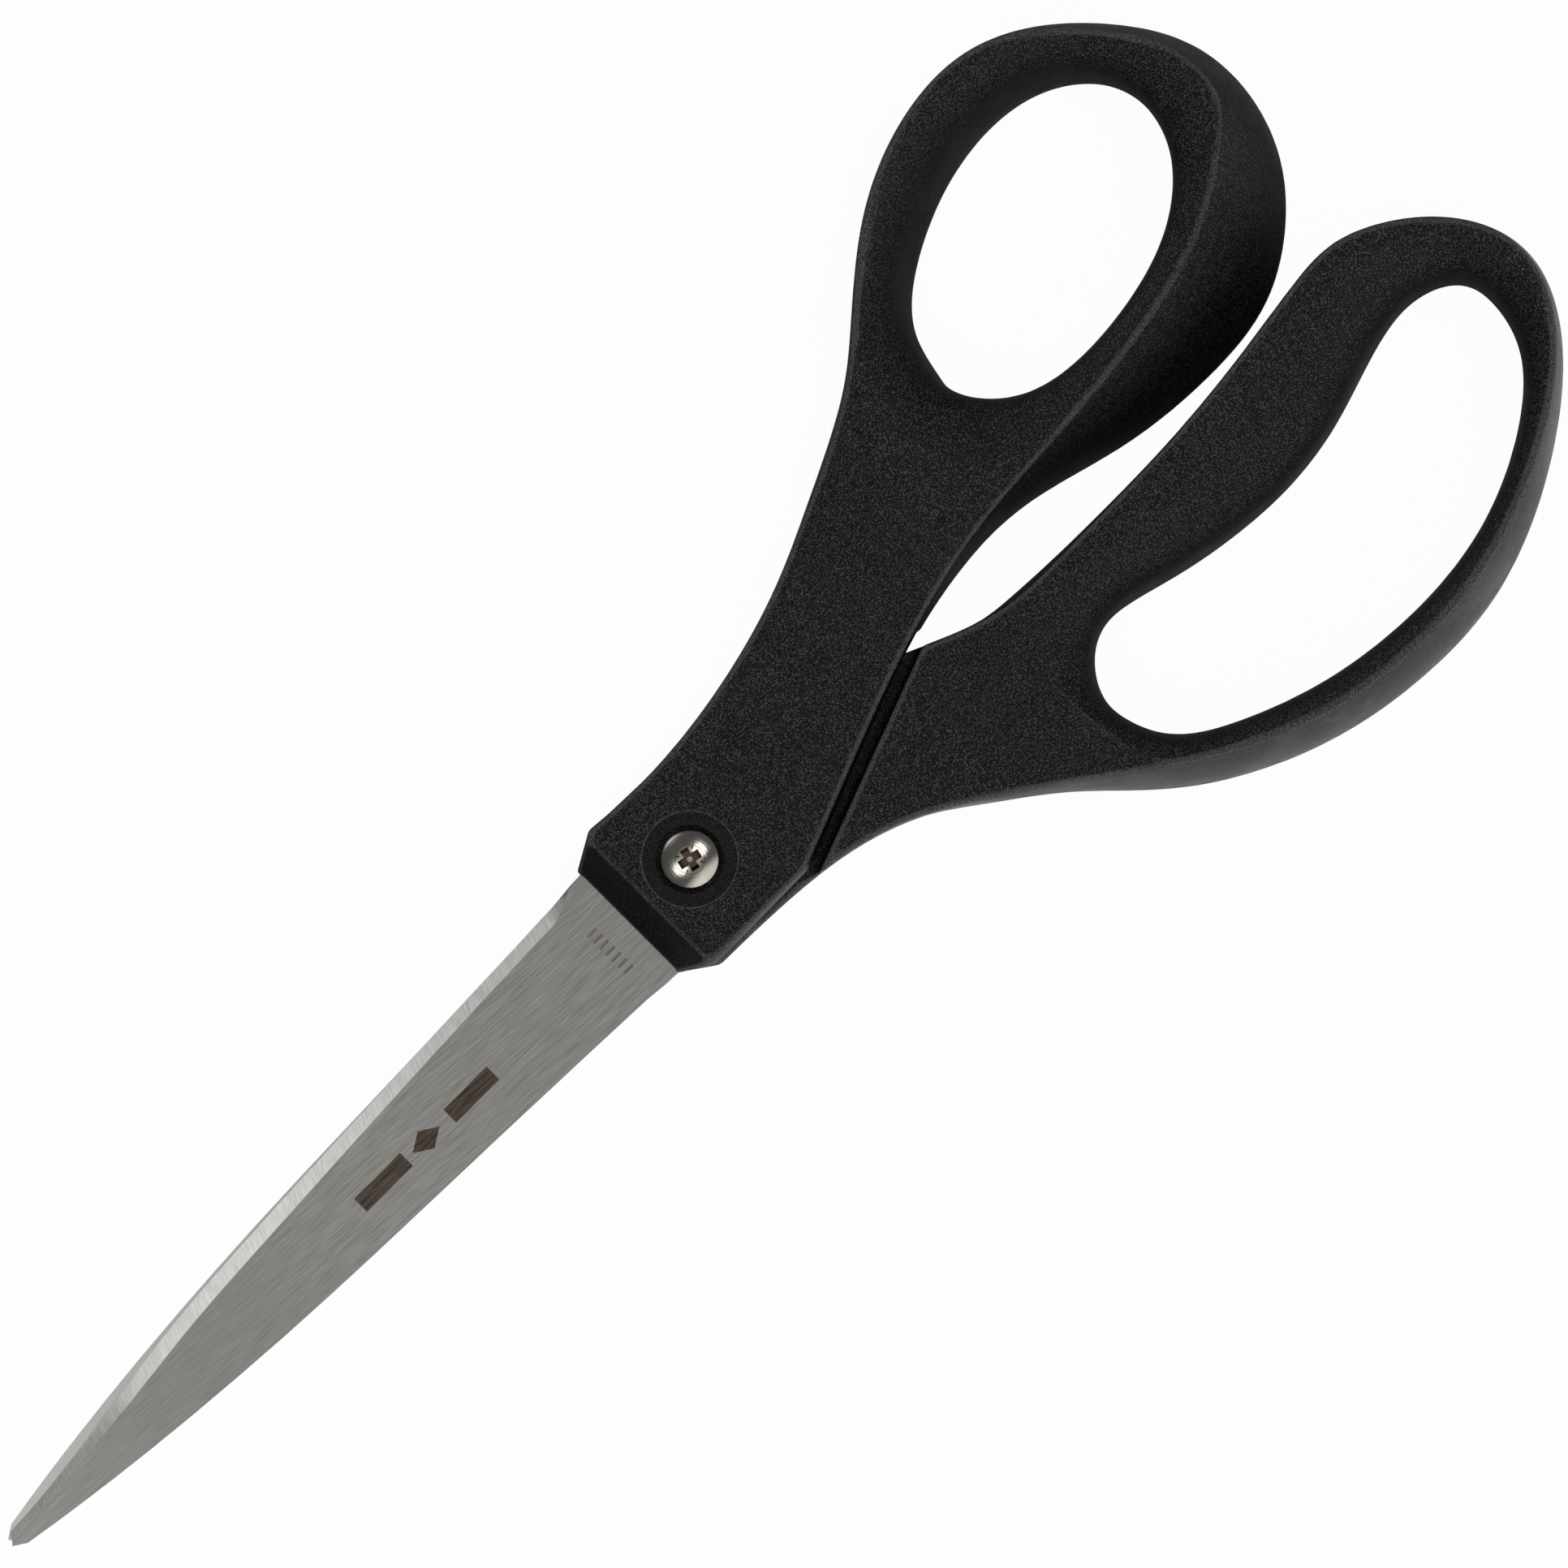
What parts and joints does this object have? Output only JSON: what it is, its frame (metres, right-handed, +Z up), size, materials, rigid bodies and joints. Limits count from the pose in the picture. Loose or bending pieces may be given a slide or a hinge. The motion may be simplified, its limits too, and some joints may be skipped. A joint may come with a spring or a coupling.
{
  "type": "office scissors",
  "caption": "Closed office scissors: two flat steel blades on a screw pivot, moulded plastic handles with a round thumb loop and a long finger loop.",
  "frame": {"origin": "on the pivot axis, at the flat back of the finger handle, which lies on the table", "axes": "+X from the pivot towards the handle loops, +Y towards the thumb loop, +Z up along the pivot axis"},
  "size_m": [0.2077, 0.0806, 0.0124],
  "materials": {
    "blade_steel": "brushed lengthwise",
    "handle_plastic": "fine spark-eroded texture",
    "pivot_metal": "bright nickel"
  },
  "bodies": {
    "finger_half": {"finger_blade": "blade_steel", "finger_handle": "handle_plastic", "pivot_screw": "pivot_metal", "pivot_nut": "pivot_metal", "spring_washer": "pivot_metal"},
    "thumb_half": {"thumb_blade": "blade_steel", "thumb_handle": "handle_plastic"}
  },
  "joints": [
    {"name": "pivot", "type": "hinge", "parent": "finger_half", "child": "thumb_half", "pos_m": [0, 0, 0.0052], "axis": [0, 0, 1], "range_deg": [0, 90]}
  ]
}
